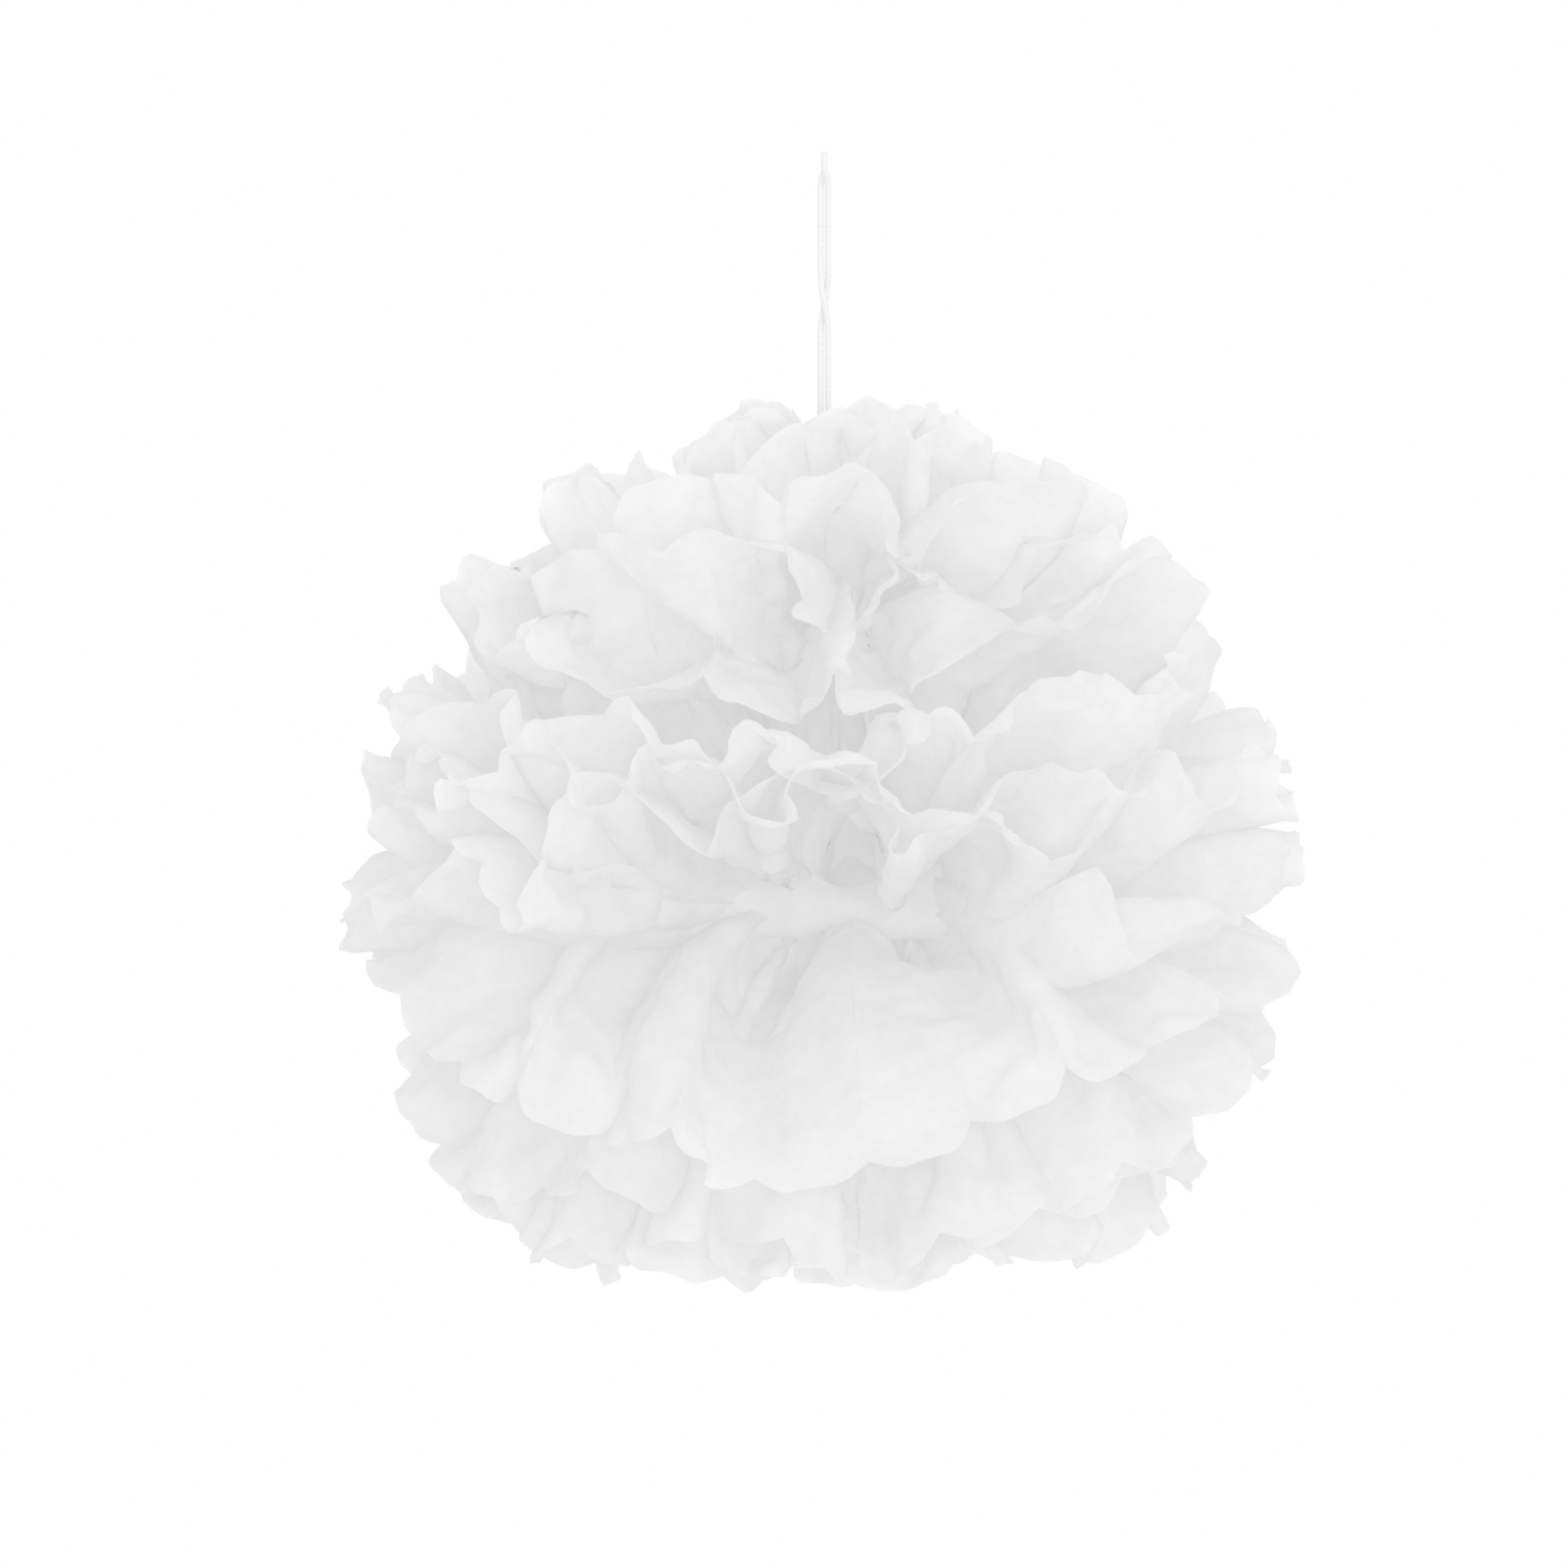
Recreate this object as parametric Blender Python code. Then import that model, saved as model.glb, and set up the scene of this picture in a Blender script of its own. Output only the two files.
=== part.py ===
"""Hanging tissue-paper pom-pom on a doubled cord.

Twelve fan-folded sheets are tied at the middle and pulled apart into a ball.
Metres, +Z up. The origin is where a hook holds the cord's loop, and the ball's front is -Y.
The fans of every sheet open towards -X and +X, and meet in a narrow slit at the front and the back.
"""

import math

import bpy
from mathutils import Matrix, Vector

# Ball and sheets
TIE_Z = -0.178  # the middle of the tie, under the hook
FAN_RADIUS = 0.122  # from the tie to a petal's tip, along the crumpled sheet
PLEATS = 15  # strips across a sheet, each ending in one rounded petal
SHEET_THICKNESS = 0.0003  # a stand-in: real tissue is about 0.03 mm
SLIT_HALF_WIDTH = 0.0011  # half the gap between a sheet's two fans
PETAL_DEPTH = 0.006  # how far a rounded end stands out past the folds beside it
PLEAT_HEIGHT = 0.0030  # fold height above and below the fan's mean surface
NECK_RADIUS = 0.009  # of the outermost sheets
NECK_RADIUS_STEP = 0.00075  # each sheet further in has a narrower neck
NECK_GAP = 0.0008  # from one sheet's neck to the next, along Z
UPPER_RISE = (72.0, 61.0, 50.0, 40.0, 30.0, 19.0, 8.0)  # degrees above level, innermost sheet first
LOWER_RISE = (-4.0, -16.0, -29.0, -41.0, -53.0)  # outermost sheet first
DROOP = 6.0  # degrees that a sheet starts above its rise and ends below it
TOP_DROOP = 9.0  # the innermost upper sheet, whose petals fold outwards
ROW_STATIONS = (0.5, 1.0)  # rows of points between neck and rim, as a share of the fan's length
PROFILE_STEPS = 24

# Tie
WIRE_RADIUS = 0.0005
TIE_HALF_DEPTH = 0.0100  # along Y
TIE_HALF_HEIGHT = 0.0068
TIE_CENTRE_Z = 0.0006  # above TIE_Z, because more sheets are pulled up than down
TIE_TURN_STEPS = 28
KNOT_RADIUS = 0.0023
KNOT_HALF_HEIGHT = 0.0017
KNOT_SEGMENTS = 16
KNOT_RINGS = 10

# Cord
STRAND_RADIUS = 0.0008
STRAND_OFFSET = 0.00095  # from the cord's axis to each strand's middle
EYE_RADIUS = 0.0021  # of the loop's eye, to the strand's middle
EYE_BOTTOM = -0.0015  # the eye is widest down to here
EYE_CLOSED = -0.008  # where the two strands have come together
QUARTER_TURN = (-0.0025, -0.0095)  # the strands turn here from front and back to side by side
HALF_TURN = (-0.025, -0.047)  # and here they change places
SWING_FRONT_Z = -0.012  # where the cord bends when the ball swings to the front and back
SWING_SIDE_Z = -0.022  # where it bends when the ball swings left and right
BEND_GAP = 0.0014  # between two lengths of cord that swing on each other
TOUCH_GAP = 0.0003
STRAND_STEP = 0.0042  # between the points of a tube
EYE_STEPS = 10


def clear_scene():
    for obj in list(bpy.data.objects):
        bpy.data.objects.remove(obj)


def make_material(name, colour, roughness, metallic=0.0):
    material = bpy.data.materials.new(name)
    material.use_nodes = True
    shader = material.node_tree.nodes["Principled BSDF"]
    shader.inputs["Base Color"].default_value = (*colour, 1.0)
    shader.inputs["Roughness"].default_value = roughness
    shader.inputs["Metallic"].default_value = metallic
    return material


def link(name, data, material, parent=None):
    obj = bpy.data.objects.new(name, data)
    bpy.context.scene.collection.objects.link(obj)
    data.materials.append(material)
    obj.parent = parent
    return obj


def make_empty(name, z, parent=None):
    empty = bpy.data.objects.new(name, None)
    bpy.context.scene.collection.objects.link(empty)
    empty.parent = parent
    empty.location.z = z - (parent.matrix_world.translation.z if parent else 0.0)
    bpy.context.view_layer.update()
    return empty


def fan_profile(neck_radius, rise, droop, reach):
    """(radius, height, angle) at a distance reach along the sheet, measured from the tie's axis."""
    length = reach - neck_radius
    radius = neck_radius
    height = 0.0
    for step in range(PROFILE_STEPS):
        along = neck_radius + length * (step + 0.5) / PROFILE_STEPS
        angle = math.radians(rise + droop * (1.0 - 2.0 * along / FAN_RADIUS))
        radius += math.cos(angle) * length / PROFILE_STEPS
        height += math.sin(angle) * length / PROFILE_STEPS
    end_angle = math.radians(rise + droop * (1.0 - 2.0 * reach / FAN_RADIUS))
    return radius, height, end_angle


def sheet_row(side, station, neck_radius, neck_z, rise, droop):
    """One row of points across a sheet. side is -1 for the left fan, 1 for the right and 0 in the tie."""
    row = []
    columns = 2 * PLEATS
    for column in range(columns + 1):
        across = 2.0 * column / columns - 1.0
        on_fold = column % 2 == 0
        reach = neck_radius + station * (FAN_RADIUS - neck_radius)
        if on_fold and station == 1.0:
            reach -= PETAL_DEPTH
        radius, height, angle = fan_profile(neck_radius, rise, droop, reach)
        fold = 0.0
        if on_fold:
            fold = (-1) ** (column // 2) * PLEAT_HEIGHT * min(1.0, 2.0 * station)
        radius -= fold * math.sin(angle)
        height += fold * math.cos(angle)
        edge = math.acos(SLIT_HALF_WIDTH / radius)
        turn = across * edge
        row.append(Vector((side * radius * math.cos(turn), radius * math.sin(turn), neck_z + height)))
    return row


def sheet_rows(neck_radius, neck_z, rise, droop):
    """The sheet's rows from the left rim through the tie to the right rim."""
    stations = (0.0, *ROW_STATIONS)
    left = [sheet_row(-1, s, neck_radius, neck_z, rise, droop) for s in reversed(stations)]
    middle = sheet_row(0, 0.0, neck_radius, neck_z, rise, droop)
    right = [sheet_row(1, s, neck_radius, neck_z, rise, droop) for s in stations]
    return [*left, middle, *right]


def grid_normal(rows, i, j):
    along = rows[min(i + 1, len(rows) - 1)][j] - rows[max(i - 1, 0)][j]
    across = rows[i][min(j + 1, len(rows[i]) - 1)] - rows[i][max(j - 1, 0)]
    return along.cross(across).normalized()


def thicken(name, rows, thickness):
    """A closed mesh of that thickness round a grid of points."""
    count_i = len(rows)
    count_j = len(rows[0])
    layer = count_i * count_j
    upper = []
    lower = []
    for i in range(count_i):
        for j in range(count_j):
            offset = grid_normal(rows, i, j) * thickness / 2
            upper.append(rows[i][j] + offset)
            lower.append(rows[i][j] - offset)
    faces = []
    for i in range(count_i - 1):
        for j in range(count_j - 1):
            a = i * count_j + j
            b = a + count_j
            faces.append((a, b, b + 1, a + 1))
            faces.append((layer + a, layer + a + 1, layer + b + 1, layer + b))
    rim = [i * count_j for i in range(count_i)]
    rim += [(count_i - 1) * count_j + j for j in range(1, count_j)]
    rim += [i * count_j + count_j - 1 for i in reversed(range(count_i - 1))]
    rim += [j for j in reversed(range(1, count_j - 1))]
    for a, b in zip(rim, rim[1:] + rim[:1]):
        faces.append((b, a, layer + a, layer + b))
    mesh = bpy.data.meshes.new(name)
    mesh.from_pydata([tuple(p) for p in upper + lower], [], faces)
    mesh.validate()
    return mesh


def make_sheets(ball, paper):
    """Sheet 01 is the innermost upper one; the numbers run down to 12, the innermost lower one."""
    plans = []
    for order, rise in enumerate(UPPER_RISE):
        inward = len(UPPER_RISE) - 1 - order
        droop = TOP_DROOP if order == 0 else DROOP
        plans.append((NECK_GAP * (inward + 0.5), inward, rise, droop))
    for inward, rise in enumerate(LOWER_RISE):
        plans.append((-NECK_GAP * (inward + 0.5), inward, rise, DROOP))
    for number, (neck_z, inward, rise, droop) in enumerate(plans, start=1):
        name = f"tissue_sheet_{number:02d}"
        neck_radius = NECK_RADIUS - NECK_RADIUS_STEP * inward
        rows = sheet_rows(neck_radius, neck_z, rise, droop)
        link(name, thicken(name, rows, SHEET_THICKNESS), paper, ball)


def make_tube(name, points, radius, material, parent, cyclic=False):
    curve = bpy.data.curves.new(name, "CURVE")
    curve.dimensions = "3D"
    curve.bevel_depth = radius
    curve.bevel_resolution = 2
    curve.use_fill_caps = not cyclic
    spline = curve.splines.new("POLY")
    spline.points.add(len(points) - 1)
    for target, point in zip(spline.points, points):
        target.co = (*point, 1.0)
    spline.use_cyclic_u = cyclic
    return link(name, curve, material, parent)


def make_tie(ball, wire):
    """The wire round the waist of the stack. It lies in the slits between the two fans of every sheet."""
    points = []
    for step in range(TIE_TURN_STEPS):
        angle = 2 * math.pi * step / TIE_TURN_STEPS
        y = TIE_HALF_DEPTH * math.cos(angle)
        z = TIE_CENTRE_Z + TIE_HALF_HEIGHT * math.sin(angle)
        points.append((0.0, y, z))
    make_tube("tie_wire", points, WIRE_RADIUS, wire, ball, cyclic=True)


def knot_z():
    """The knot's middle, above the ball's own zero."""
    return TIE_CENTRE_Z + TIE_HALF_HEIGHT + WIRE_RADIUS + TOUCH_GAP + KNOT_HALF_HEIGHT


def make_knot(ball, cotton):
    bpy.ops.mesh.primitive_uv_sphere_add(segments=KNOT_SEGMENTS, ring_count=KNOT_RINGS, radius=1.0)
    knot = bpy.context.object
    knot.name = "cord_knot"
    knot.data.transform(Matrix.Diagonal((KNOT_RADIUS, KNOT_RADIUS, KNOT_HALF_HEIGHT, 1.0)))
    knot.data.shade_smooth()
    knot.data.materials.append(cotton)
    knot.parent = ball
    knot.location.z = knot_z()


def ease(z, span):
    """0 above the span of heights, 1 below it, and smooth in between."""
    share = min(1.0, max(0.0, (span[0] - z) / (span[0] - span[1])))
    return share * share * (3 - 2 * share)


def strand_point(side, z):
    """Where a strand passes a height. The two strands are opposite each other, and turn about the axis."""
    turn = math.pi / 2 * (1 + ease(z, QUARTER_TURN)) + math.pi * ease(z, HALF_TURN)
    offset = EYE_RADIUS + (STRAND_OFFSET - EYE_RADIUS) * ease(z, (EYE_BOTTOM, EYE_CLOSED))
    return Vector((side * offset * math.cos(turn), side * offset * math.sin(turn), z))


def strand(side, top, bottom, step=STRAND_STEP):
    count = max(3, round((top - bottom) / step)) + 1
    return [strand_point(side, top + (bottom - top) * i / (count - 1)) for i in range(count)]


def make_cord_top(cotton):
    """The eye that the hook holds, with the first stretch of both strands.

    The hook bears on the eye's inside, at z = 0.
    """
    crown = STRAND_RADIUS - EYE_RADIUS
    bottom = SWING_FRONT_Z + BEND_GAP / 2
    back = strand(1, crown, bottom, STRAND_STEP / 3)
    front = strand(-1, crown, bottom, STRAND_STEP / 3)
    arc = []
    for step in range(1, EYE_STEPS):
        angle = math.pi * step / EYE_STEPS
        arc.append(Vector((0.0, EYE_RADIUS * math.cos(angle), crown + EYE_RADIUS * math.sin(angle))))
    make_tube("cord_top", [*reversed(back), *arc, *front], STRAND_RADIUS, cotton, None)


def make_cord_lengths(cotton, link_empty, drop_empty):
    link_top = SWING_FRONT_Z - BEND_GAP / 2
    link_bottom = SWING_SIDE_Z + BEND_GAP / 2
    drop_top = SWING_SIDE_Z - BEND_GAP / 2
    drop_bottom = TIE_Z + knot_z() + KNOT_HALF_HEIGHT + TOUCH_GAP
    for side, letter in ((1, "a"), (-1, "b")):
        for name, top, bottom, empty in (
            ("cord_link", link_top, link_bottom, link_empty),
            ("cord_drop", drop_top, drop_bottom, drop_empty),
        ):
            points = [p - empty.matrix_world.translation for p in strand(side, top, bottom)]
            make_tube(f"{name}_{letter}", points, STRAND_RADIUS, cotton, empty)


def build():
    clear_scene()
    paper = make_material("tissue_paper", (0.86, 0.86, 0.855), 0.85)
    cotton = make_material("cotton_cord", (0.90, 0.90, 0.895), 0.8)
    wire = make_material("coated_wire", (0.82, 0.82, 0.81), 0.4)
    link_empty = make_empty("swing_front_axis", SWING_FRONT_Z)
    drop_empty = make_empty("swing_side_axis", SWING_SIDE_Z, link_empty)
    ball = make_empty("ball_spin_axis", TIE_Z, drop_empty)
    make_cord_top(cotton)
    make_cord_lengths(cotton, link_empty, drop_empty)
    make_knot(ball, cotton)
    make_tie(ball, wire)
    make_sheets(ball, paper)


build()
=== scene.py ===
"""Looks of the hanging tissue-paper pom-pom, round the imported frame.

Twelve crumpled fan-folded sheets, the wire that ties them, and the doubled cord with its eye and knot.
Sizes are in metres. X points right, Y to the back and Z up, from where the eye rests on its hook.
"""

import math

import bpy
import numpy as np
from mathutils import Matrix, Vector


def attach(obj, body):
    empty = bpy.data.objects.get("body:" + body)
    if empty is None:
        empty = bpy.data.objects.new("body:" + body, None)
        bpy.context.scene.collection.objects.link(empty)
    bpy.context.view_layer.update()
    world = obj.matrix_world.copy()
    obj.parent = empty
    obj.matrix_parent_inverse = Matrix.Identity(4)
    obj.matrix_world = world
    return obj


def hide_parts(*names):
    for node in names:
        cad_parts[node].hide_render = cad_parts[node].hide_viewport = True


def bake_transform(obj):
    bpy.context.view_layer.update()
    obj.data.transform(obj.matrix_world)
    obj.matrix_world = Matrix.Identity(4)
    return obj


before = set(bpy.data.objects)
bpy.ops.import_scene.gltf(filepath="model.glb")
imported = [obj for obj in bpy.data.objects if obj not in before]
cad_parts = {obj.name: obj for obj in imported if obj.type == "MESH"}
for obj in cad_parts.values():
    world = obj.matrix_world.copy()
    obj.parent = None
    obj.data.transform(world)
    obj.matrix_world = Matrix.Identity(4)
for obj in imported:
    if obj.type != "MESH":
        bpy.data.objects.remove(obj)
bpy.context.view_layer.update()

# ---------------------------------------------------------------- the flat sheets
SHEETS = 12
STRIPS = 15  # pleats across a sheet
STRIP_WIDTH = 0.0254
HALF_LENGTH = 0.127  # from the tie to a petal's tip, flat
PETAL_DEPTH = 0.0075  # a rounded end past the folds beside it
PETAL_POWER = 2.4  # an ellipse has 2, and a squarer end has more
COLUMNS_PER_STRIP = 6
ROWS = 34  # from the tie to the rim
FINER = 2  # final grid steps for each step of the relaxed grid
SIDES = (-1, 1)  # the left and the right half of a sheet

# ---------------------------------------------------------------- how they are tied and opened
TIE_Z = -0.178
BUNDLE_HALF_DEPTH = 0.0080  # of the squeezed pleats, along Y
BUNDLE_HALF_HEIGHT = 0.0058
SHEET_STEP = 0.00025  # from one sheet to the next in the bundle
OPENED = 0.94  # an open pleat's width, as a share of the strip's
SPREAD_REACH = 0.016  # along the sheet, until the fans point where they go
LIFT_REACH = 0.010  # and until they rise as steeply as they should
FRONT_SPAN = 0.9  # radians from the front over which its own shapes fade out
RIM_STEPS = 24  # in adding up how far out a rim is
STATION_STEPS = 40  # from one station to the next

# Two limits on how high a fold stands. One grows along the sheet, from the bundle's half height. The
# other grows away from the cord's axis, and is higher where the paper lies level.
FOLD_GAIN = 0.45
AXIS_FOLD = 0.004
AXIS_FOLD_GAIN = 0.55
LEVEL_FOLD = 0.002

# Random widths of a fan's strips against each other: drawn once for all sheets, then varied for each.
FOLD_SEED = 11
SHARED_WIDTHS = (0.35, 1.75)
OWN_WIDTHS = (0.8, 1.25)
WIDE = 2.0
WIDE_STRIPS = 4  # at the front of every sheet
WIDE_STRIPS_LOW = 6  # at the front of the sheets below the band
BAND_WIDTH = 0.15
WIDTH_ROUNDS = 30

# Random degrees added at each fold, and the share of them that is left at the front.
RISE_NOISE = 4.0
CURL_NOISE = 20
FRONT_NOISE = 0.8
CALM_FRONT_NOISE = 0.4  # in the calm sheets
NOISE_GROWS = (0.4, 0.8)  # radians from the front: where it starts to grow, and over how much

# ---------------------------------------------------------------- the band in front of the tie
BAND_SHEET = 7  # its first strip crosses in front of the tie
CALM_SHEETS = range(BAND_SHEET - 4, BAND_SHEET + 3)  # their fronts keep closer to the tables below
BAND_LOW = -0.0150  # edges of the band, from the tie's middle
BAND_HIGH = 0.0040
BAND_PINCH = 0.45  # the height it keeps right at the tie
BAND_PINCH_REACH = 0.016
BAND_FORWARD = 0.025  # in front of the bundle
BAND_BULGE = 0.004  # further forward in the middle of its height
BAND_DRAWN_IN = 0.96  # its length seen from the front, as a share of the paper's
BAND_REACH = (0.032, 0.080)  # pressed flat inside the first, free outside the second

# ---------------------------------------------------------------- dents and creases
# The waves are as long and as steep as this, and each fades out over a patch of this size.
LARGE_DENTS = {"seed": 23, "count": 8, "waves": (0.025, 0.070), "slope": 0.07, "patches": (0.030, 0.080)}
FINE_CREASES = {"seed": 5, "count": 36, "waves": (0.010, 0.026), "slope": 0.080, "patches": (0.012, 0.035)}
PATCH_REACH = (0.05, 0.12)  # of the patches' middles, along the sheet
CRUMPLE_GROWS = (0.02, 0.06)  # along the sheet: where it starts, and over how much

# ---------------------------------------------------------------- relaxing the paper
RELAX_ROUNDS = 90
# Rows and columns from one end of a spring to the other, stiffness, and the share of it when squeezed.
SPRINGS = (
    (0, 1, 1.0, 0.2),
    (1, 0, 1.0, 0.8),
    (1, 1, 0.7, 0.4),
    (1, -1, 0.7, 0.4),
    (2, 0, 0.5, 0.8),
    (0, 2, 0.35, 0.6),
)
SPRING_STEP = 0.33
EARLY_HOLD = 0.03  # pull back to the given shape, in each round
LATE_HOLD = 0.008
EARLY_SHARE = 0.6  # of the rounds
FREE_GROWS = (0.010, 0.02)  # along the sheet: the wire holds the paper up to the first
BAND_FIRM = 14  # how much more firmly the band keeps its shape
BAND_FIRM_FADES = (0.045, 0.03)
SEAM_PULL = (0.25, 0.15, 0.075)  # share of the gap still open that each column by a seam moves
SEAM_COLUMNS = 6  # that share in closing it for good at the end
PUSH_EVERY = 4  # rounds
MOST_PUSH = 0.003  # at a time
CLEAR_AT_TIE = 0.0002  # between neighbouring sheets
CLEAR_GAIN = 0.0014
CLEAR_GROWS = (0.02, 0.08)

# ---------------------------------------------------------------- last moves
FRONT_SHIFT = 0.009  # the gather shows this far right of the cord
FRONT_SHIFT_DEPTH = 0.014
FRONT_SHIFT_REACH = 0.05
CORD_ROOM = 0.0034  # from the cord's axis to the nearest paper
CORD_STARTS = (0.004, 0.003)  # above the tie's middle: where the room starts, and over how much

# Degrees above level where each sheet's petals end, from the top sheet to the
# bottom one. The stations run from the front round the side to the back, 45
# degrees apart.
LEFT_RISE = (
    (75, 75, 74, 76, 78),
    (61, 60, 60, 62, 65),
    (41, 44, 47, 49, 51),
    (25, 32, 36, 38, 40),
    (15, 24, 27, 29, 29),
    (8, 14, 17, 18, 18),
    (5, 5, 4, 7, 7),
    (0, 0, -1, -3, -6),
    (-31, -22, -14, -16, -18),
    (-48, -38, -28, -29, -30),
    (-45, -41, -37, -39, -40),
    (-47, -47, -46, -47, -48),
)
RIGHT_RISE = (
    (75, 74, 73, 76, 78),
    (61, 60, 60, 61, 64),
    (42, 46, 48, 49, 50),
    (25, 34, 40, 40, 39),
    (15, 26, 32, 31, 29),
    (8, 17, 22, 21, 18),
    (5, 9, 11, 10, 7),
    (1, 2, 1, -1, -5),
    (-30, -18, -8, -12, -17),
    (-47, -36, -26, -27, -30),
    (-45, -40, -35, -37, -40),
    (-47, -46, -45, -46, -48),
)
# Degrees that a petal's outer half turns up from its inner half, at the same stations.
LEFT_CURL = (
    (-40, -45, -50, -45, -40),
    (-55, -10, 5, 10, 20),
    (-91, 10, 35, 45, 45),
    (-105, -40, 40, 45, -60),
    (0, 55, 50, 45, -70),
    (0, 40, 50, -60, 45),
    (10, 20, 30, -60, 45),
    (0, -15, -20, -45, -45),
    (-45, -50, -35, -45, -50),
    (-55, -45, -20, -35, -45),
    (-30, -25, -15, -25, -35),
    (-40, -30, -15, -20, -25),
)
RIGHT_CURL = (
    (-40, -45, -50, -45, -40),
    (-55, -40, -10, 10, 20),
    (-91, -70, 40, 45, 45),
    (-105, -80, 50, 45, -60),
    (0, 50, 60, 45, -70),
    (0, 60, 45, -60, 45),
    (10, 45, -4, -60, 45),
    (0, 45, -30, -45, -45),
    (-45, -50, -30, -45, -50),
    (-55, -45, -20, -35, -45),
    (-30, -25, -15, -25, -35),
    (-40, -30, -15, -20, -25),
)
RISE = (LEFT_RISE, RIGHT_RISE)
CURL = (LEFT_CURL, RIGHT_CURL)
# Where a sheet bends at the front, as a share of the way out, and over how
# much of it. Elsewhere it is REST_KNEE.
REST_KNEE = (0.55, 0.5)
FRONT_KNEE = {1: (0.65, 0.3), 2: (0.62, 0.25), 3: (0.58, 0.22), 8: (0.60, 0.5)}
# Degrees that the paper stands steeper just outside the tie, at the front, and
# the share of that elsewhere.
SPLAY = (0, 0, 5, 8, 16, 20, 26, 0, -34, -42, -34, -24)
SPLAY_ELSEWHERE = 0.3
SPLAY_FADES = (0.010, 0.030)
# How firmly a sheet keeps the shape it was given.
FIRM = (1, 1.5, 2.5, 3.5, 1.5, 1.5, 1.5, 3.0, 1.5, 1, 1, 1)
# Degrees from the front, rightwards, where the left and right fans of each
# sheet meet, and how far they lap. At the back they lap by BACK_LAP.
FRONT_SEAM = (-8, 12, -16, 8, -14, 10, -6, 0, 6, -12, 10, -8)
FRONT_LAP = (6, 6, 8, 8, 6, 5, 4, -38, 2, 5, 6, 6)
BACK_SEAM = (10, -12, 14, -9, 12, -14, 8, -8, 12, -10, 9, -12)
BACK_LAP = 3


# ---------------------------------------------------------------- curves and grids
def smoothstep(x):
    x = np.clip(x, 0.0, 1.0)
    return x * x * (3 - 2 * x)


def ease_in(x, start, over):
    """0 up to the start, and 1 once x is past it by the second length."""
    return smoothstep((x - start) / over)


def zigzag(x):
    """1 at whole numbers and 0 halfway between them."""
    return np.abs(2 * (x - np.floor(x)) - 1)


def unit(vectors, tiny=0.0):
    """The vectors at length 1. A tiny length can be added, so that a zero vector stays zero."""
    return vectors / (np.linalg.norm(vectors, axis=-1, keepdims=True) + tiny)


def spline_matrix(knots, factor):
    """Natural cubic spline through equally spaced knots, as a matrix from knot values to finer ones.

    The finer values have factor steps for each step between knots.
    """
    system = np.eye(knots)
    right = np.zeros((knots, knots))
    for i in range(1, knots - 1):
        system[i, i - 1 : i + 2] = (1, 4, 1)
        right[i, i - 1 : i + 2] = (6, -12, 6)
    second = np.linalg.solve(system, right)
    out = np.zeros(((knots - 1) * factor + 1, knots))
    for row in range(len(out)):
        i = min(row // factor, knots - 2)
        t = row / factor - i
        out[row, i] += 1 - t
        out[row, i + 1] += t
        out[row] += ((1 - t) ** 3 - (1 - t)) / 6 * second[i] + (t**3 - t) / 6 * second[i + 1]
    return out


def flat_grid():
    """(across, along) of every grid point on half a flat sheet, with rounded ends."""
    v = np.arange(STRIPS * COLUMNS_PER_STRIP + 1) / COLUMNS_PER_STRIP
    rounding = 1 - np.sqrt(np.clip(1 - zigzag(v) ** PETAL_POWER, 0, 1))
    length = HALF_LENGTH - PETAL_DEPTH * rounding
    share = np.linspace(0, 1, ROWS)[:, None]
    along = share * length[None, :]
    across = np.broadcast_to(v * STRIP_WIDTH, along.shape)
    return np.stack([across, along], axis=2)


def stations(values, turn):
    """Smooth interpolation between values at equal steps of turn from 0 to pi."""
    fine = spline_matrix(len(values), STATION_STEPS) @ np.array(values, float)
    return np.interp(turn, np.linspace(0, math.pi, len(fine)), fine)


# ---------------------------------------------------------------- folding and fanning out
def front_weight(turn):
    """1 at the front, fading to nothing at the sides."""
    return np.exp(-((turn / FRONT_SPAN) ** 2))


def knee_at(k, turn):
    """Middle and width of sheet k's bend, at each turn from the front."""
    near = front_weight(turn)
    middle, width = FRONT_KNEE.get(k, REST_KNEE)
    return REST_KNEE[0] + (middle - REST_KNEE[0]) * near, REST_KNEE[1] + (width - REST_KNEE[1]) * near


def angle_along(rise, curl, knee, share):
    """The paper's own angle above level, at a share of the way from the tie to the rim."""
    middle, width = knee
    return np.radians(rise + curl * (smoothstep((share - middle + width / 2) / width) - 1 + middle))


def rim_radius(rise, curl, knee):
    """How far out from the tie the paper reaches, on the way to its rim."""
    share = np.linspace(0, 1, RIM_STEPS)[:, None]
    outward = np.cos(angle_along(rise[None, :], curl[None, :], knee, share))
    return HALF_LENGTH * np.maximum.accumulate(np.cumsum(outward, axis=0) / RIM_STEPS, axis=0)[-1]


def fold_noise(rng):
    """A random value for each fold, a little like its neighbours'."""
    field = rng.normal(size=STRIPS + 1)
    field = (np.roll(field, 1) + 2 * field + np.roll(field, -1)) / 4
    return field / (field.std() + 1e-9)


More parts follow.
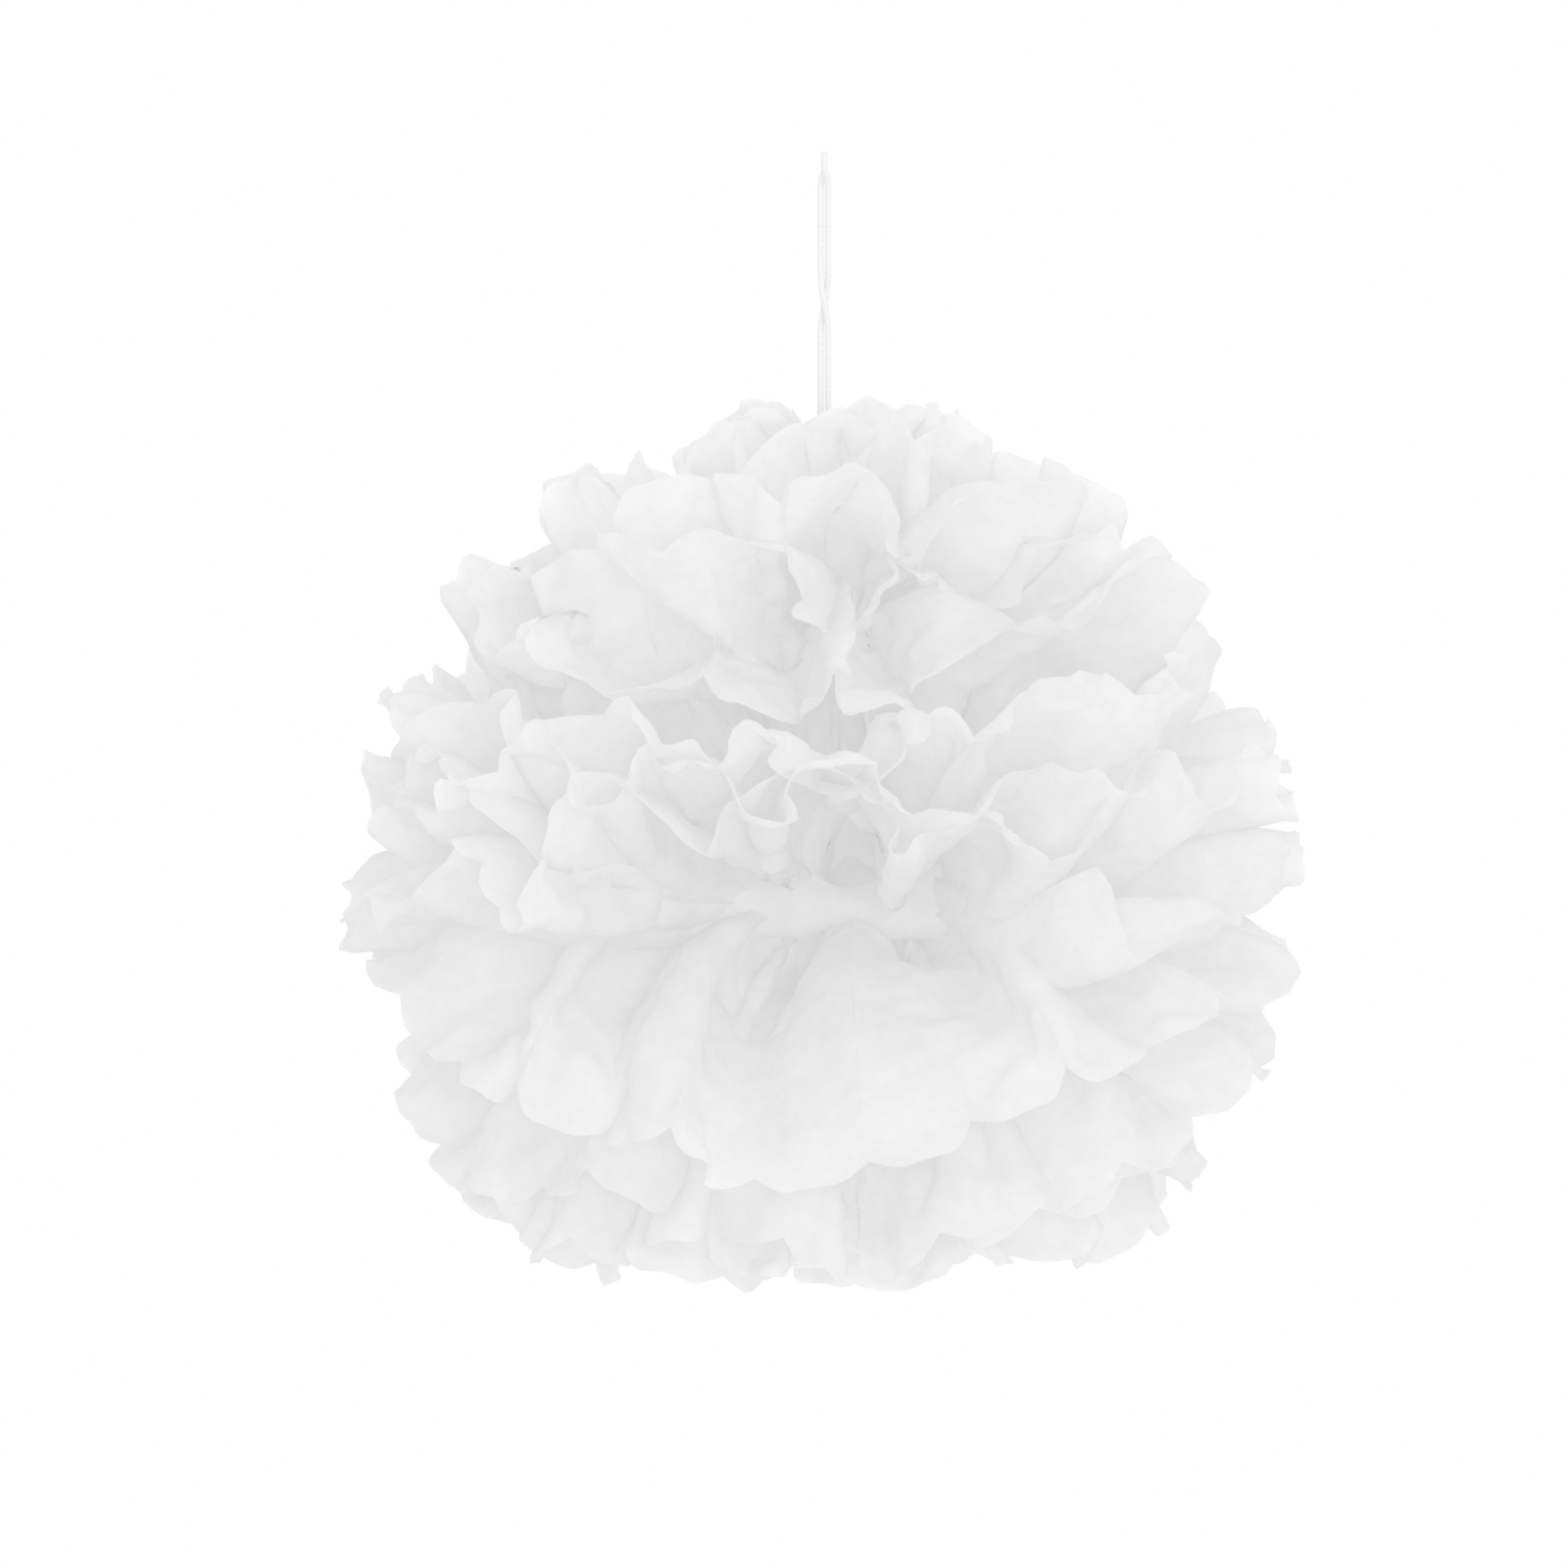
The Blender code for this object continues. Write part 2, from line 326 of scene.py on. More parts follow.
def fold_turns(k, side_index, widths):
    """Turn from the front of each fold of a fan. No strip opens wider than its paper."""
    side = SIDES[side_index]
    first = math.radians(side * FRONT_SEAM[k] - FRONT_LAP[k])
    last = math.pi + math.radians(BACK_LAP - side * BACK_SEAM[k])
    if k == BAND_SHEET:
        widths[0] = BAND_WIDTH
    if k > BAND_SHEET:
        widths[:WIDE_STRIPS_LOW] = WIDE
    even = np.linspace(0, math.pi, STRIPS)
    rise = stations(RISE[side_index][k], even)
    curl = stations(CURL[side_index][k], even)
    widest = OPENED * STRIP_WIDTH / rim_radius(rise, curl, knee_at(k, even))
    widths = widths / widths.sum() * (last - first)
    for _ in range(WIDTH_ROUNDS):
        widths = np.minimum(widths, widest)
        free = widths < widest
        missing = last - first - widths.sum()
        widths = widths + missing * free * widths / max(1e-6, (widths * free).sum())
    return first + np.concatenate([[0], np.cumsum(widths)])


def fold_heights(base, reach, angle):
    """How far each fold stands off the fan: as far as its strips' width asks for, within limits."""
    gap = np.linalg.norm(np.diff(base, axis=1), axis=2)
    fold = np.sqrt(np.clip(STRIP_WIDTH**2 - gap**2, 0, None)) / 2
    height = np.zeros_like(reach)
    height[:, :-1] += fold / 2
    height[:, 1:] += fold / 2
    height[:, 0] *= 2
    height[:, -1] *= 2
    radius = np.hypot(base[..., 0], base[..., 1])
    near_tie = BUNDLE_HALF_HEIGHT + reach * FOLD_GAIN
    near_axis = AXIS_FOLD + AXIS_FOLD_GAIN * radius + LEVEL_FOLD * (1 - np.abs(np.sin(angle)))
    return np.minimum(height, np.minimum(near_tie, near_axis))


def fold_lines(k, side, turn, reach, rise, curl):
    """Points along each fold of a fan. The folds stand above and below it in turn."""
    e = angle_along(rise[None, :], curl[None, :], knee_at(k, turn), reach / HALF_LENGTH)
    splay = math.radians(SPLAY[k]) * (SPLAY_ELSEWHERE + (1 - SPLAY_ELSEWHERE) * front_weight(turn))
    e = e + splay * (1 - ease_in(reach, *SPLAY_FADES))
    e = e * smoothstep(reach / LIFT_REACH)
    a = math.pi / 2 + (turn[None, :] - math.pi / 2) * smoothstep(reach / SPREAD_REACH)
    direction = np.stack([side * np.sin(a) * np.cos(e), -np.cos(a) * np.cos(e), np.sin(e)], axis=2)
    normal = np.stack([-side * np.sin(a) * np.sin(e), np.cos(a) * np.sin(e), np.cos(e)], axis=2)
    step = np.diff(reach, axis=0, prepend=0)
    base = np.cumsum(direction * step[..., None], axis=0)
    base[..., 1] += np.linspace(-1, 1, STRIPS + 1)[None, :] * BUNDLE_HALF_DEPTH
    base[..., 2] += (SHEETS / 2 - 0.5 - k) * SHEET_STEP
    up_or_down = (-1.0) ** np.arange(STRIPS + 1)
    return base + normal * (fold_heights(base, reach, e) * up_or_down[None, :])[..., None]


def fill_strips(folds):
    """A whole half sheet's grid, straight from each fold to the next."""
    t = (np.arange(COLUMNS_PER_STRIP) / COLUMNS_PER_STRIP)[None, None, :, None]
    left = folds[:, :-1, None]
    right = folds[:, 1:, None]
    columns = (left + (right - left) * t).reshape(ROWS, STRIPS * COLUMNS_PER_STRIP, 3)
    return np.concatenate([columns, folds[:, -1:]], axis=1)


def first_shape(flat):
    """Every half sheet, folded and fanned out by rule: by sheet, half, row and column, round the tie."""
    rng = np.random.default_rng(FOLD_SEED)
    reach = flat[:, ::COLUMNS_PER_STRIP, 1]
    out = np.zeros((SHEETS, len(SIDES), *flat.shape[:2], 3))
    shared = rng.uniform(*SHARED_WIDTHS, (len(SIDES), STRIPS))
    shared[:, :WIDE_STRIPS] = WIDE
    for k in range(SHEETS):
        left_at_front = CALM_FRONT_NOISE if k in CALM_SHEETS else FRONT_NOISE
        for side_index, side in enumerate(SIDES):
            turn = fold_turns(k, side_index, shared[side_index] * rng.uniform(*OWN_WIDTHS, STRIPS))
            loose = left_at_front + (1 - left_at_front) * ease_in(turn, *NOISE_GROWS)
            rise = stations(RISE[side_index][k], turn) + fold_noise(rng) * RISE_NOISE * loose
            curl = stations(CURL[side_index][k], turn) + fold_noise(rng) * CURL_NOISE * loose
            out[k, side_index] = fill_strips(fold_lines(k, side, turn, reach, rise, curl))
    return out


def lay_band(shape, flat):
    """The front strip of one middle sheet is not squeezed by the wire. It crosses in front of the tie."""
    middle = (BAND_LOW + BAND_HIGH) / 2
    for side_index, side in enumerate(SIDES):
        for column in range(COLUMNS_PER_STRIP + 1):
            across = column / COLUMNS_PER_STRIP
            reach = flat[:, column, 1]
            pinch = BAND_PINCH + (1 - BAND_PINCH) * smoothstep(reach / BAND_PINCH_REACH)
            height = middle + (BAND_HIGH - BAND_LOW) * (0.5 - across) * pinch
            forward = BAND_FORWARD + BAND_BULGE * math.sin(math.pi * across)
            front = np.full_like(reach, -BUNDLE_HALF_DEPTH - forward)
            goal = np.stack([side * reach * BAND_DRAWN_IN, front, height], axis=1)
            pressed = 1 - ease_in(reach, BAND_REACH[0], BAND_REACH[1] - BAND_REACH[0])
            now = shape[BAND_SHEET, side_index, :, column]
            shape[BAND_SHEET, side_index, :, column] = now + (goal - now) * pressed[:, None]


# ---------------------------------------------------------------- crumpling and relaxing
def grid_normals(p):
    """Normals of each half sheet's grid, pointing to the sheet above."""
    n = np.cross(np.gradient(p, axis=2), np.gradient(p, axis=3))
    n[:, 0] *= -1
    return unit(n, 1e-12)


def crumple(p, flat, seed, count, waves, slope, patches):
    """Dents and creases that hands leave in the paper, as moves along the normals."""
    rng = np.random.default_rng(seed)
    n = grid_normals(p)
    across, along = flat[..., 0], flat[..., 1]
    grow = ease_in(along, *CRUMPLE_GROWS)
    out = p.copy()
    for k in range(SHEETS):
        for side in range(len(SIDES)):
            move = np.zeros(across.shape)
            for _ in range(count):
                angle = rng.uniform(0, math.pi)
                wave = rng.uniform(*waves)
                phase = rng.uniform(0, 1)
                line = (across * math.cos(angle) + along * math.sin(angle)) / wave + phase
                ridge = zigzag(line) - 0.5
                centre = (rng.uniform(0, across.max()), rng.uniform(*PATCH_REACH))
                size = rng.uniform(*patches)
                patch = np.exp(-((across - centre[0]) ** 2 + (along - centre[1]) ** 2) / size**2)
                move += ridge * patch * wave * slope
            out[k, side] += n[k, side] * (move * grow)[..., None]
    return out


def pairs_apart(rows, columns):
    """Slices of a grid for both ends of every step of so many rows and columns."""
    ahead = tuple(slice(max(step, 0), min(step, 0) or None) for step in (rows, columns))
    behind = tuple(slice(max(-step, 0), min(-step, 0) or None) for step in (rows, columns))
    return ahead, behind


def make_springs(flat, target):
    """Both ends, stiffness, share of it when squeezed, and rest length of each family of springs."""
    everything = (slice(None), slice(None))
    fold = np.arange(1, flat.shape[1] - 1) % COLUMNS_PER_STRIP == 0
    springs = []
    for rows, columns, stiffness, squeezed in SPRINGS:
        ahead, behind = pairs_apart(rows, columns)
        length = np.linalg.norm(flat[ahead] - flat[behind], axis=-1).astype(np.float32)[None, None]
        ahead, behind = (*everything, *ahead), (*everything, *behind)
        if rows == 2:  # a pleat keeps the bend along it
            length = np.linalg.norm(target[ahead] - target[behind], axis=-1)
        if columns == 2:  # and a fold bends freely
            stiffness = np.where(fold, 0.0, stiffness)[None, None, None, :].astype(np.float32)
        springs.append((ahead, behind, stiffness, squeezed, length))
    return springs


def spring_moves(p, springs):
    """Where the springs pull each point."""
    move = np.zeros_like(p)
    for ahead, behind, stiffness, squeezed, length in springs:
        d = p[ahead] - p[behind]
        size = np.linalg.norm(d, axis=-1) + 1e-9
        give = np.where(size < length, squeezed, 1.0)
        pull = (0.5 * stiffness * give * (size - length) / size)[..., None] * d
        move[ahead] -= pull
        move[behind] += pull
    return move


def seams(columns):
    """Edge column, step inwards and sheets of the front and the back seam. The band is open at the front."""
    closed = [k for k in range(SHEETS) if k != BAND_SHEET]
    return ((0, 1, closed), (columns - 1, -1, list(range(SHEETS))))


def seam_gap(p, edge, sheets):
    return p[sheets, 0, :, edge] - p[sheets, 1, :, edge]


def draw_together(p, column, sheets, move):
    p[sheets, 0, :, column] -= move
    p[sheets, 1, :, column] += move


def push_apart(p, clear, free):
    """Moves neighbouring sheets off each other where they are closer than they should be."""
    n = grid_normals(p)
    between = unit(n[:-1] + n[1:], 1e-9)
    gap = np.sum((p[:-1] - p[1:]) * between, axis=-1)
    push = np.clip(clear - gap, 0, MOST_PUSH)[..., None] * between * 0.5
    p[:-1] += push * free
    p[1:] -= push * free


def relax(p, flat):
    """Moves the points until the paper nearly keeps its flat lengths and clears the next sheet."""
    target = p.astype(np.float32)
    p = target.copy()
    springs = make_springs(flat, target)
    reach = flat[..., 1].astype(np.float32)
    free = ease_in(reach, *FREE_GROWS).astype(np.float32)[None, None, ..., None]
    clear = (CLEAR_AT_TIE + CLEAR_GAIN * ease_in(reach, *CLEAR_GROWS)).astype(np.float32)[None, None]
    firm = np.ones((SHEETS, 1, *reach.shape, 1), np.float32) * np.array(FIRM)[:, None, None, None, None]
    band_firm = BAND_FIRM * (1 - ease_in(reach[:, :1], *BAND_FIRM_FADES))
    firm[BAND_SHEET, 0, :, : COLUMNS_PER_STRIP + 1, 0] += band_firm
    for round_number in range(RELAX_ROUNDS):
        p += SPRING_STEP * spring_moves(p, springs) * free
        hold = EARLY_HOLD if round_number < RELAX_ROUNDS * EARLY_SHARE else LATE_HOLD
        p += hold * firm * (target - p)
        for edge, inwards, sheets in seams(flat.shape[1]):
            for steps, share in enumerate(SEAM_PULL):
                draw_together(p, edge + inwards * steps, sheets, seam_gap(p, edge, sheets) * share)
        if round_number % PUSH_EVERY == PUSH_EVERY - 1:
            push_apart(p, clear, free)
    for edge, inwards, sheets in seams(flat.shape[1]):
        gap = seam_gap(p, edge, sheets)
        for steps in range(SEAM_COLUMNS):
            draw_together(p, edge + inwards * steps, sheets, gap * (0.5 * (1 - steps / SEAM_COLUMNS)))
    return p.astype(float)


def finer(p):
    """The halves with more rows and columns. Folds stay sharp, because each strip is refined alone."""
    rows = spline_matrix(ROWS, FINER)
    strip = spline_matrix(COLUMNS_PER_STRIP + 1, FINER)
    p = np.einsum("ij,abjcx->abicx", rows, p)
    out = np.zeros((*p.shape[:3], STRIPS * COLUMNS_PER_STRIP * FINER + 1, 3))
    for first in range(0, STRIPS * COLUMNS_PER_STRIP, COLUMNS_PER_STRIP):
        last = first + COLUMNS_PER_STRIP
        block = np.einsum("ij,abrjx->abrix", strip, p[:, :, :, first : last + 1])
        out[:, :, :, first * FINER : last * FINER + 1] = block
    return out


def shift_front(points):
    """The gather leans to the right at the front, where the wire pulls it."""
    reach = np.linalg.norm(points, axis=-1)
    weight = smoothstep(-points[..., 1] / FRONT_SHIFT_DEPTH) * np.exp(-((reach / FRONT_SHIFT_REACH) ** 2))
    out = points.copy()
    out[..., 0] += FRONT_SHIFT * weight
    return out


def clear_cord(points):
    """Keeps every sheet off the cord and its knot, on the side where its own rim is."""
    outward = unit(points[:, :, -1:, :, :2])
    reach = np.sum(points[..., :2] * outward, axis=-1)
    above = ease_in(points[..., 2], *CORD_STARTS)
    out = points.copy()
    out[..., :2] += (np.clip(CORD_ROOM - reach, 0, None) * above)[..., None] * outward
    return out


def sheet_shapes(flat):
    """The final grid of every half sheet, round the tie."""
    shape = first_shape(flat)
    lay_band(shape, flat)
    shape = relax(crumple(shape, flat, **LARGE_DENTS), flat)
    fine_flat = finer(np.dstack([flat, 0 * flat[..., :1]])[None, None])[0, 0]
    shape = crumple(finer(shape), fine_flat, **FINE_CREASES)
    return clear_cord(shift_front(shape))


def join_halves(halves):
    """One grid from the left rim through the tie to the right rim."""
    left = halves[0][::-1]
    right = halves[1]
    middle = (halves[0][0] + halves[1][0]) / 2
    return np.concatenate([left[:-1], middle[None], right[1:]], axis=0)


# ---------------------------------------------------------------- cord, knot and tie
STRAND_RADIUS = 0.0008
STRAND_OFFSET = 0.00095  # of each strand's middle, from the cord's axis
EYE_RADIUS = 0.0021
EYE_BOTTOM = -0.0015  # the strands draw together from here
EYE_CLOSED = -0.008  # to here
QUARTER_TURN = (-0.0025, -0.0095)  # heights between which the strands turn about each other
HALF_TURN = (-0.025, -0.047)
SWING_FRONT_Z = -0.012
SWING_SIDE_Z = -0.022
LINK_MIDDLE = (SWING_FRONT_Z + SWING_SIDE_Z) / 2
TIE_HALF_DEPTH = 0.0100  # of the wire's turn, to the middle of the wire
TIE_HALF_HEIGHT = 0.0068
TIE_CENTRE_Z = 0.0006  # of the wire's turn, above TIE_Z
WIRE_RADIUS = 0.0005
WIRE_LAY = 0.004
TOUCH_GAP = 0.0003
KNOT_HALF_HEIGHT = 0.0017
KNOT_Z = TIE_CENTRE_Z + TIE_HALF_HEIGHT + WIRE_RADIUS + TOUCH_GAP + KNOT_HALF_HEIGHT
KNOT_SIZE = 0.00062
KNOT_LOOPS = 1.7  # how wide its three loops are
KNOT_RISE = 0.0009
INTO_KNOT = 0.0012  # further down than the CAD's strands, into the knot
STRING_LAY = 0.0052  # one turn of the plies
PLY_DEPTH = 0.20  # of the groove between plies, as a share of the radius
STRING_STEP = 0.00022  # between rings of the mesh
FEWEST_RINGS = 8
ASIDE = (0.3, 0.8, 0.1)  # a direction that no path starts in
# Points on each path, before it is cut into even steps.
LEG_POINTS = 48
ARC_POINTS = 24
KNOT_POINTS = 160
TIE_POINTS = 200
STRAND_POINTS = 240


def ease_down(z, span):
    """0 above the span of heights and 1 below it."""
    return smoothstep((span[0] - z) / (span[0] - span[1]))


def strand_points(side, z):
    """Where a strand passes the heights z. The two are opposite each other, and turn about the axis."""
    turn = math.pi / 2 * (1 + ease_down(z, QUARTER_TURN)) + math.pi * ease_down(z, HALF_TURN)
    offset = EYE_RADIUS + (STRAND_OFFSET - EYE_RADIUS) * ease_down(z, (EYE_BOTTOM, EYE_CLOSED))
    return np.stack([side * offset * np.cos(turn), side * offset * np.sin(turn), z], axis=1)


def eye_points():
    """Up the back strand from the middle of the link, round the eye and down the front one."""
    crown = STRAND_RADIUS - EYE_RADIUS
    z = np.linspace(LINK_MIDDLE, crown, LEG_POINTS)
    angle = np.linspace(0, math.pi, ARC_POINTS)[1:-1]
    arc = np.stack([0 * angle, EYE_RADIUS * np.cos(angle), crown + EYE_RADIUS * np.sin(angle)], axis=1)
    return np.concatenate([strand_points(1, z), arc, strand_points(-1, z[::-1])])


def knot_points():
    """A small overhand knot's winding, round the axis."""
    t = np.linspace(0, 2 * math.pi, KNOT_POINTS)
    x = KNOT_SIZE * (np.sin(t) + KNOT_LOOPS * np.sin(2 * t))
    y = KNOT_SIZE * (np.cos(t) - KNOT_LOOPS * np.cos(2 * t))
    z = KNOT_RISE * -np.sin(3 * t)
    return np.stack([x, y, z + TIE_Z + KNOT_Z], axis=1)


def tie_points():
    """One turn of wire round the gather, shifted with it at the front."""
    t = np.linspace(0, 2 * math.pi, TIE_POINTS)
    y = TIE_HALF_DEPTH * np.cos(t)
    z = TIE_Z + TIE_CENTRE_Z + TIE_HALF_HEIGHT * np.sin(t)
    x = FRONT_SHIFT * smoothstep(-y / FRONT_SHIFT_DEPTH)
    return np.stack([x, y, z], axis=1)


def normals_along(path):
    """Two steady normals at each point of a path."""
    tangent = unit(np.gradient(path, axis=0))
    normal = np.zeros_like(path)
    normal[0] = unit(np.cross(tangent[0], ASIDE))
    for i in range(1, len(path)):
        turned = normal[i - 1] - tangent[i] * np.dot(normal[i - 1], tangent[i])
        normal[i] = turned / np.linalg.norm(turned)
    return normal, np.cross(tangent, normal)


def resample(path, step):
    """The path in equal steps, and the length along it at each."""
    reach = np.concatenate([[0], np.cumsum(np.linalg.norm(np.diff(path, axis=0), axis=1))])
    count = max(FEWEST_RINGS, int(round(reach[-1] / step)))
    fine = np.linspace(0, reach[-1], count + 1)
    return np.stack([np.interp(fine, reach, path[:, i]) for i in range(3)], axis=1), fine


def string_mesh(name, path, radius, plies=3, lay=STRING_LAY, around=24, closed=False):
    """A few plies twisted together, as a tube whose outline is the plies' own, and its middle line."""
    path, reach = resample(path, STRING_STEP)
    normal, side = normals_along(path)
    angle = np.linspace(0, 2 * math.pi, around, endpoint=False)
    if closed:
        lay = reach[-1] / max(1, round(reach[-1] / lay))
    twist = 2 * math.pi * reach / lay
    lobe = np.abs(np.cos(plies / 2 * (angle[None, :] - twist[:, None])))
    size = radius * (1 - PLY_DEPTH + PLY_DEPTH * np.sqrt(lobe))
    ring = normal[:, None] * np.cos(angle)[None, :, None] + side[:, None] * np.sin(angle)[None, :, None]
    points = path[:, None] + size[..., None] * ring
    index = np.arange(len(path) * around).reshape(len(path), around)
    beside = np.roll(index, -1, axis=1)
    faces = np.stack([index[:-1], beside[:-1], beside[1:], index[1:]], axis=-1).reshape(-1, 4).tolist()
    if not closed:
        faces.append(index[0][::-1].tolist())
        faces.append(index[-1].tolist())
    mesh = bpy.data.meshes.new(name)
    mesh.from_pydata(points.reshape(-1, 3).tolist(), [], faces)
    mesh.shade_smooth()
    return mesh, [tuple(p) for p in path]


# ---------------------------------------------------------------- camera, light and materials
VIEW_WIDTH = 0.389  # seen at the pom-pom's distance
VIEW_CENTRE = Vector((-0.010, 0.0, -0.155))
VIEW_DISTANCE = 1.6
VIEW_RISE = math.radians(2.0)
SENSOR_WIDTH = 36
TONE_GAMMA = 2.3  # a high-key tone, with white paper on white
WHITE = (1, 1, 1, 1)
# Name, place, size and watts. They all face the tie.
LIGHTS = (
    ("key", (0.9, -1.3, 0.7), 1.2, 7),
    ("fill", (0.15, -2.2, -0.15), 0.7, 16),
    ("back", (0.3, 1.8, 0.7), 1.6, 8),
)
COTTON = (0.60, 0.60, 0.595)
WIRE = (0.82, 0.82, 0.81)
NOISE_SUM = (0.7, 1.3)  # where nearly all of the paper's two added noises lie
PAPER_WHITE = (0.56, 0.69)  # share of the light that the darkest and the lightest paper gives back
LIGHT_THROUGH = 0.55  # share of the light that goes through the paper
PAINTED_GLOW = 0.14  # painted light: an even glow of the paper itself, standing in for the light that scatters on and on inside white paper, evenly from everywhere
FLOOR_Z = -2.6
FLOOR_HALF = 6.0
FLOOR_COLOUR = (0.62, 0.62, 0.62)
FLOOR_FADE = (2.0, 4.2)  # from the floor's middle: its own colour inside, the surroundings' white outside


def place_object(name, data):
    obj = bpy.data.objects.new(name, data)
    bpy.context.scene.collection.objects.link(obj)
    return obj


def make_camera():
    data = bpy.data.cameras.new("camera")
    data.sensor_width = SENSOR_WIDTH
    data.lens = SENSOR_WIDTH * VIEW_DISTANCE / VIEW_WIDTH
    obj = place_object("camera", data)
    away = Vector((0, -math.cos(VIEW_RISE), math.sin(VIEW_RISE)))
    obj.location = VIEW_CENTRE + away * VIEW_DISTANCE
    obj.rotation_euler = (-away).to_track_quat("-Z", "Y").to_euler()
    bpy.context.scene.camera = obj


def make_world():
    world = bpy.data.worlds.new("studio")
    bpy.context.scene.world = world
    world.use_nodes = True
    world.node_tree.nodes["Background"].inputs["Color"].default_value = WHITE
    world.node_tree.nodes["Background"].inputs["Strength"].default_value = 1.0


def area_light(name, place, size, power):
    data = bpy.data.lights.new(name, "AREA")
    data.size = size
    data.energy = power
    obj = place_object(name, data)
    obj.location = place
    obj.rotation_euler = (Vector((0, 0, TIE_Z)) - Vector(place)).to_track_quat("-Z", "Y").to_euler()


def simple(name, colour, roughness=0.8):
    material = bpy.data.materials.new(name)
    material.use_nodes = True
    shader = material.node_tree.nodes["Principled BSDF"]
    shader.inputs["Base Color"].default_value = (*colour, 1)
    shader.inputs["Roughness"].default_value = roughness
    return material


def add_node(material, kind, **values):
    node = material.node_tree.nodes.new(kind)
    for key, value in values.items():
        node.inputs[key].default_value = value
    return node


def map_range(material, start, end):
    """A node that takes values from the first range to the second."""
    ranges = {"From Min": start[0], "From Max": start[1], "To Min": end[0], "To Max": end[1]}
    return add_node(material, "ShaderNodeMapRange", **ranges)


def floor_material():
    """Pale under the ball, and fading into the white surroundings, so that the floor's edge never shows."""
    material = simple("floor", FLOOR_COLOUR)
    nodes = material.node_tree.nodes
    link = material.node_tree.links.new
    place = add_node(material, "ShaderNodeNewGeometry")
    radius = add_node(material, "ShaderNodeVectorMath")
    radius.operation = "DISTANCE"
    radius.inputs[1].default_value = (0, 0, FLOOR_Z)
    fade = map_range(material, FLOOR_FADE, (0, 1))
    fade.interpolation_type = "SMOOTHSTEP"
    white = add_node(material, "ShaderNodeEmission")
    mix = add_node(material, "ShaderNodeMixShader")
    link(place.outputs["Position"], radius.inputs[0])
    link(radius.outputs["Value"], fade.inputs["Value"])
    link(fade.outputs["Result"], mix.inputs["Fac"])
    link(nodes["Principled BSDF"].outputs["BSDF"], mix.inputs[1])
    link(white.outputs["Emission"], mix.inputs[2])
    link(mix.outputs["Shader"], nodes["Material Output"].inputs["Surface"])
    return material


def paper_colour(material, place):
    """Clouds of fibres and wider, fainter stains."""
    link = material.node_tree.links.new
    clouds = add_node(material, "ShaderNodeTexNoise", Scale=260, Detail=6, Roughness=0.65)
    stains = add_node(material, "ShaderNodeTexNoise", Scale=55, Detail=3)
    both = add_node(material, "ShaderNodeMath")
    both.operation = "ADD"
    for slot, texture in enumerate((clouds, stains)):
        link(place, texture.inputs["Vector"])
        link(texture.outputs["Fac"], both.inputs[slot])
    tone = map_range(material, NOISE_SUM, PAPER_WHITE)
    link(both.outputs[0], tone.inputs["Value"])
    colour = add_node(material, "ShaderNodeCombineColor")
    for channel in ("Red", "Green", "Blue"):
        link(tone.outputs["Result"], colour.inputs[channel])
    return colour.outputs[0]


def paper_bump(material, place):
    """Fine creases, with the fibres' grain over them."""
    link = material.node_tree.links.new
    creases = add_node(material, "ShaderNodeTexVoronoi", Scale=95)
    creases.feature = "DISTANCE_TO_EDGE"
    fibres = add_node(material, "ShaderNodeTexNoise", Scale=1400, Detail=4)
    for texture in (creases, fibres):
        link(place, texture.inputs["Vector"])
    crease_bump = add_node(material, "ShaderNodeBump", Strength=0.35, Distance=0.0006)
    link(creases.outputs["Distance"], crease_bump.inputs["Height"])
    bump = add_node(material, "ShaderNodeBump", Strength=0.4, Distance=0.00012)
    link(fibres.outputs["Fac"], bump.inputs["Height"])
    link(crease_bump.outputs["Normal"], bump.inputs["Normal"])
    return bump.outputs["Normal"]


def tissue_material():
    """Thin white tissue, which light goes through, with a small even painted glow that stands in for light
    scattered between the sheets.
    """
    material = bpy.data.materials.new("tissue")
    material.use_nodes = True
    material.node_tree.nodes.clear()
    link = material.node_tree.links.new
    place = add_node(material, "ShaderNodeTexCoord").outputs["Object"]
    colour = paper_colour(material, place)
    bump = paper_bump(material, place)
    surface = add_node(material, "ShaderNodeMixShader", Fac=LIGHT_THROUGH)
    for slot, kind in enumerate(("ShaderNodeBsdfDiffuse", "ShaderNodeBsdfTranslucent"), start=1):
        shader = add_node(material, kind)
        link(colour, shader.inputs["Color"])
        link(bump, shader.inputs["Normal"])
        link(shader.outputs[0], surface.inputs[slot])
    # painted light: the paper glows evenly by itself, which lifts the shade in its hollows
    painted_glow = add_node(material, "ShaderNodeEmission", Color=WHITE, Strength=PAINTED_GLOW)
    total = add_node(material, "ShaderNodeAddShader")
    link(surface.outputs[0], total.inputs[0])
    link(painted_glow.outputs[0], total.inputs[1])
    output = add_node(material, "ShaderNodeOutputMaterial")
    link(total.outputs[0], output.inputs["Surface"])
    return material


# ---------------------------------------------------------------- the pieces
def grid_mesh(name, grid):
    rows, columns = grid.shape[:2]
    mesh = bpy.data.meshes.new(name)
    index = np.arange(rows * columns).reshape(rows, columns)
    corners = [index[:-1, :-1], index[1:, :-1], index[1:, 1:], index[:-1, 1:]]
    quads = np.stack(corners, axis=-1).reshape(-1, 4)
    mesh.vertices.add(rows * columns)
    mesh.vertices.foreach_set("co", grid.reshape(-1).astype(np.float32))
    mesh.loops.add(quads.size)
    mesh.loops.foreach_set("vertex_index", quads.reshape(-1).astype(np.int32))
    mesh.polygons.add(len(quads))
    mesh.polygons.foreach_set("loop_start", np.arange(0, quads.size, 4, dtype=np.int32))
    mesh.update(calc_edges=True)
    mesh.shade_smooth()
    return mesh


def show(name, mesh, material):
    mesh.materials.append(material)
    return place_object(name, mesh)


